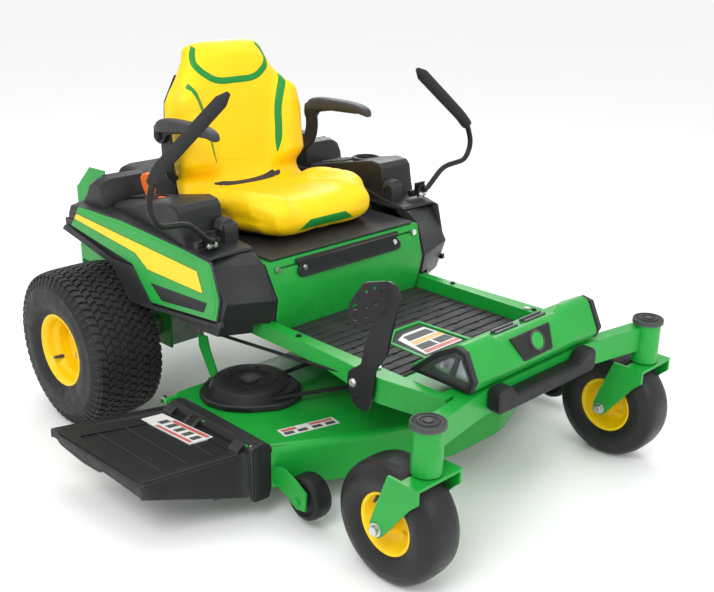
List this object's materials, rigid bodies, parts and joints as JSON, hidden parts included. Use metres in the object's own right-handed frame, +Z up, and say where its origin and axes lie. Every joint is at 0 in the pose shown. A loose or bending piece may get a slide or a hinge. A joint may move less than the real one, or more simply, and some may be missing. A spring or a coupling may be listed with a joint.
{
  "type": "riding lawn mower",
  "caption": "Zero-turn riding mower with twin control levers, padded seat, offset cutting deck with side discharge chute, trailing front casters and wide turf drive wheels.",
  "frame": {"origin": "centre of the machine's footprint box, on the ground", "axes": "+Z up; the machine faces -Y; +X is the driver's left"},
  "size_m": [1.595, 1.965, 1.182],
  "materials": {
    "green_paint": "gloss",
    "yellow_paint": "gloss",
    "black_paint": "satin",
    "steel": "satin",
    "cast_alloy": "satin",
    "black_plastic": "satin",
    "green_plastic": "gloss",
    "lens": "gloss",
    "orange_plastic": "satin",
    "rubber": "matte",
    "tyre": "matte",
    "seat_cover": "satin",
    "armrest_pad": "matte"
  },
  "bodies": {
    "chassis": {"main_frame": "green_paint", "front_axle": "green_paint", "foot_platform": "green_paint", "floor_mat": "rubber", "floor_hatch": "black_plastic", "front_cover": "green_paint", "headlight_bezels": "black_plastic", "headlight_lenses": "lens", "front_bumper": "black_plastic", "seat_front_panel": "green_paint", "front_badge_plate": "black_plastic", "fender_left": "black_plastic", "fender_right": "black_plastic", "side_panel_left": "green_plastic", "side_panel_right": "green_plastic", "console_left": "black_plastic", "console_right": "black_plastic", "engine_block": "cast_alloy", "engine_shroud": "black_plastic", "fuel_tank": "black_plastic", "transaxles": "cast_alloy", "rear_guard": "green_paint", "frame_bolts": "steel", "drive_belt": "rubber"},
    "crankshaft": {"crank_clutch": "steel", "debris_screen": "black_plastic"},
    "drive_wheel_left": {"rear_tyre_left": "tyre", "rear_rim_left": "yellow_paint"},
    "drive_wheel_right": {"rear_tyre_right": "tyre", "rear_rim_right": "yellow_paint"},
    "caster_fork_left": {"caster_fork_left": "green_paint"},
    "caster_fork_right": {"caster_fork_right": "green_paint"},
    "caster_wheel_left": {"caster_tyre_left": "tyre", "caster_rim_left": "yellow_paint"},
    "caster_wheel_right": {"caster_tyre_right": "tyre", "caster_rim_right": "yellow_paint"},
    "deck": {"deck_shell": "green_paint", "belt_covers": "black_plastic", "deck_brackets": "black_paint", "deck_belt": "rubber"},
    "blade_left": {"blade_spindle_left": "black_paint"},
    "blade_center": {"blade_spindle_center": "black_paint"},
    "blade_right": {"blade_spindle_right": "black_paint"},
    "deck_wheel_left": {"deck_wheel_left": "black_plastic"},
    "deck_wheel_right": {"deck_wheel_right": "black_plastic"},
    "chute": {"discharge_chute": "black_plastic"},
    "lift_pedal": {"lift_pedal": "black_paint"},
    "lever_base_left": {"lever_base_left": "black_paint"},
    "lever_base_right": {"lever_base_right": "black_paint"},
    "control_lever_left": {"control_lever_left": "black_paint"},
    "control_lever_right": {"control_lever_right": "black_paint"},
    "seat_platform": {"seat_deck": "black_paint"},
    "seat": {"seat_base": "black_paint", "seat_cushion": "seat_cover"},
    "armrest_left": {"armrest_left": "armrest_pad"},
    "armrest_right": {"armrest_right": "armrest_pad"},
    "throttle": {"throttle_lever": "orange_plastic"},
    "ignition": {"ignition_key": "black_plastic"},
    "blade_switch": {"blade_switch": "orange_plastic"},
    "fuel_cap": {"fuel_cap": "black_plastic"}
  },
  "joints": [
    {"name": "crank_spin", "type": "hinge", "parent": "chassis", "child": "crankshaft", "pos_m": [0.088, 0.7145, 0.5], "axis": [0, 0, 1], "continuous": true},
    {"name": "drive_wheel_left_spin", "type": "hinge", "parent": "chassis", "child": "drive_wheel_left", "pos_m": [0.648, 0.4845, 0.254], "axis": [1, 0, 0], "continuous": true},
    {"name": "drive_wheel_right_spin", "type": "hinge", "parent": "chassis", "child": "drive_wheel_right", "pos_m": [-0.472, 0.4845, 0.254], "axis": [1, 0, 0], "continuous": true},
    {"name": "caster_left_swivel", "type": "hinge", "parent": "chassis", "child": "caster_fork_left", "pos_m": [0.568, -0.9025, 0.4], "axis": [0, 0, 1], "continuous": true},
    {"name": "caster_right_swivel", "type": "hinge", "parent": "chassis", "child": "caster_fork_right", "pos_m": [-0.392, -0.9025, 0.4], "axis": [0, 0, 1], "continuous": true},
    {"name": "caster_left_spin", "type": "hinge", "parent": "caster_fork_left", "child": "caster_wheel_left", "pos_m": [0.568, -0.8175, 0.165], "axis": [1, 0, 0], "continuous": true},
    {"name": "caster_right_spin", "type": "hinge", "parent": "caster_fork_right", "child": "caster_wheel_right", "pos_m": [-0.392, -0.8175, 0.165], "axis": [1, 0, 0], "continuous": true},
    {"name": "deck_lift", "type": "slide", "parent": "chassis", "child": "deck", "axis": [0, 0, 1], "range_m": [0, 0.06], "deforming": ["drive_belt"]},
    {"name": "blade_left_spin", "type": "hinge", "parent": "deck", "child": "blade_left", "pos_m": [0.548, -0.1705, 0.2], "axis": [0, 0, 1], "continuous": true},
    {"name": "blade_center_spin", "type": "hinge", "parent": "deck", "child": "blade_center", "pos_m": [0.148, -0.3455, 0.2], "axis": [0, 0, 1], "continuous": true},
    {"name": "blade_right_spin", "type": "hinge", "parent": "deck", "child": "blade_right", "pos_m": [-0.252, -0.1705, 0.2], "axis": [0, 0, 1], "continuous": true},
    {"name": "deck_wheel_left_spin", "type": "hinge", "parent": "deck", "child": "deck_wheel_left", "pos_m": [0.703, -0.5045, 0.092], "axis": [1, 0, 0], "continuous": true},
    {"name": "deck_wheel_right_spin", "type": "hinge", "parent": "deck", "child": "deck_wheel_right", "pos_m": [-0.407, -0.5045, 0.092], "axis": [1, 0, 0], "continuous": true},
    {"name": "chute_hinge", "type": "hinge", "parent": "deck", "child": "chute", "pos_m": [-0.504, -0.1775, 0.222], "axis": [0, 1, 0], "range_deg": [0, 80]},
    {"name": "lift_pedal_hinge", "type": "hinge", "parent": "chassis", "child": "lift_pedal", "pos_m": [-0.284, -0.5455, 0.404], "axis": [1, 0, 0], "range_deg": [0, 27]},
    {"name": "lever_left_drive", "type": "hinge", "parent": "chassis", "child": "lever_base_left", "pos_m": [0.528, -0.0095, 0.676], "axis": [1, 0, 0], "range_deg": [-12, 12]},
    {"name": "lever_right_drive", "type": "hinge", "parent": "chassis", "child": "lever_base_right", "pos_m": [-0.352, -0.0095, 0.676], "axis": [1, 0, 0], "range_deg": [-12, 12]},
    {"name": "lever_left_swing", "type": "hinge", "parent": "lever_base_left", "child": "control_lever_left", "pos_m": [0.528, -0.0275, 0.676], "axis": [0, 1, 0], "range_deg": [0, 11]},
    {"name": "lever_right_swing", "type": "hinge", "parent": "lever_base_right", "child": "control_lever_right", "pos_m": [-0.352, -0.0275, 0.676], "axis": [0, -1, 0], "range_deg": [0, 11]},
    {"name": "seat_tilt", "type": "hinge", "parent": "chassis", "child": "seat_platform", "pos_m": [0.088, -0.1155, 0.619], "axis": [1, 0, 0], "range_deg": [0, 45]},
    {"name": "seat_slide", "type": "slide", "parent": "seat_platform", "child": "seat", "axis": [0, 1, 0], "range_m": [-0.05, 0.05]},
    {"name": "armrest_left_fold", "type": "hinge", "parent": "seat", "child": "armrest_left", "pos_m": [0.4, 0.3965, 0.905], "axis": [-1, 0, 0], "range_deg": [0, 80]},
    {"name": "armrest_right_fold", "type": "hinge", "parent": "seat", "child": "armrest_right", "pos_m": [-0.224, 0.3965, 0.905], "axis": [-1, 0, 0], "range_deg": [0, 80]},
    {"name": "throttle_hinge", "type": "hinge", "parent": "chassis", "child": "throttle", "pos_m": [-0.29, 0.4045, 0.69], "axis": [1, 0, 0], "range_deg": [-8, 8]},
    {"name": "key_turn", "type": "hinge", "parent": "chassis", "child": "ignition", "pos_m": [-0.312, 0.3345, 0.72], "axis": [0, 0, 1], "range_deg": [0, 90]},
    {"name": "blade_switch_pull", "type": "slide", "parent": "chassis", "child": "blade_switch", "axis": [0, 0, 1], "range_m": [0, 0.008]},
    {"name": "fuel_cap_turn", "type": "hinge", "parent": "chassis", "child": "fuel_cap", "pos_m": [0.466, 0.5045, 0.8], "axis": [0, 0, 1], "continuous": true}
  ],
  "couplings": [
    {"joint": "blade_left_spin", "follows": "crank_spin", "ratio": 1.1333},
    {"joint": "blade_center_spin", "follows": "crank_spin", "ratio": 1.1333},
    {"joint": "blade_right_spin", "follows": "crank_spin", "ratio": 1.1333},
    {"joint": "lift_pedal_hinge", "follows": "deck_lift", "rad_per_m": 7.5}
  ]
}
